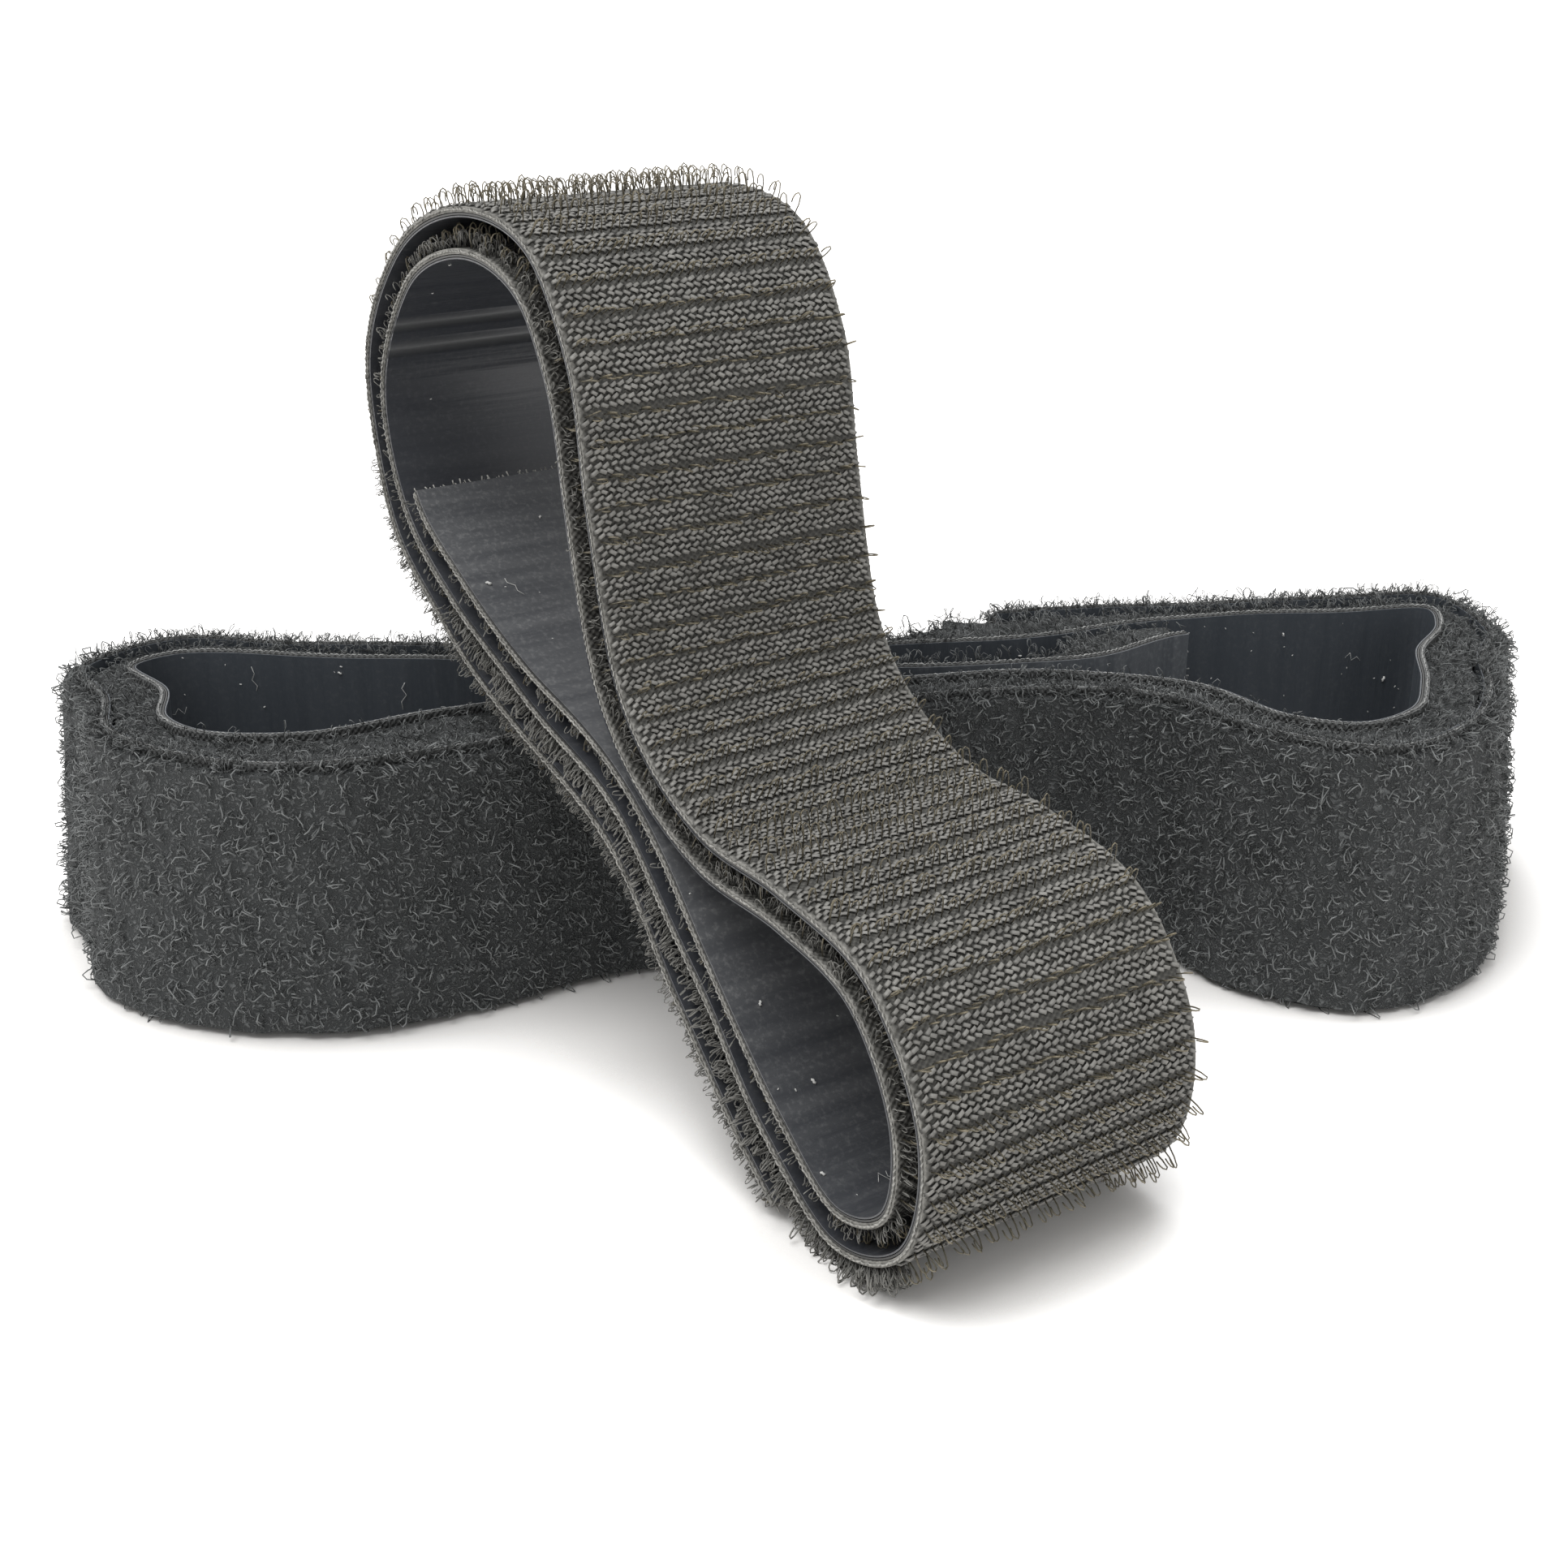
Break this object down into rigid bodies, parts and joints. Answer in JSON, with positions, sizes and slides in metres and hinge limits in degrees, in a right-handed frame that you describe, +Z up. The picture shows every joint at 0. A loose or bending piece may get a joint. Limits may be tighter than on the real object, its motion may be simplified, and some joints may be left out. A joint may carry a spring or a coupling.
{
  "type": "hook and loop tape roll",
  "caption": "Self-adhesive hook tape wound into a waisted roll and leaning on a matching loop tape roll that stands on its edge; both tapes keep their glossy release liner inside.",
  "frame": {"origin": "on the floor under the middle of the pair's bounding box", "axes": "+X along the loop roll's length, +Y away from the side that the hook roll leans from, +Z up"},
  "size_m": [0.1122, 0.0696, 0.0564],
  "materials": {
    "loop_weave": "matt woven nylon",
    "loop_pile": "napped nylon loops",
    "hook_weave": "matt woven nylon",
    "hooks": "cut monofilament hooks",
    "adhesive": "tacky film",
    "liner": "smooth release film"
  },
  "bodies": {
    "loop_roll": {"loop_ground": "loop_weave", "loop_pile": "loop_pile", "loop_adhesive": "adhesive", "loop_liner": "liner"},
    "hook_roll": {"hook_ground": "hook_weave", "hook_field": "hooks", "hook_adhesive": "adhesive", "hook_liner": "liner"}
  },
  "joints": [
    {"name": "hook_roll_lift", "type": "slide", "parent": "loop_roll", "child": "hook_roll", "axis": [0, 0, 1], "range_m": [0, 0.06]}
  ]
}
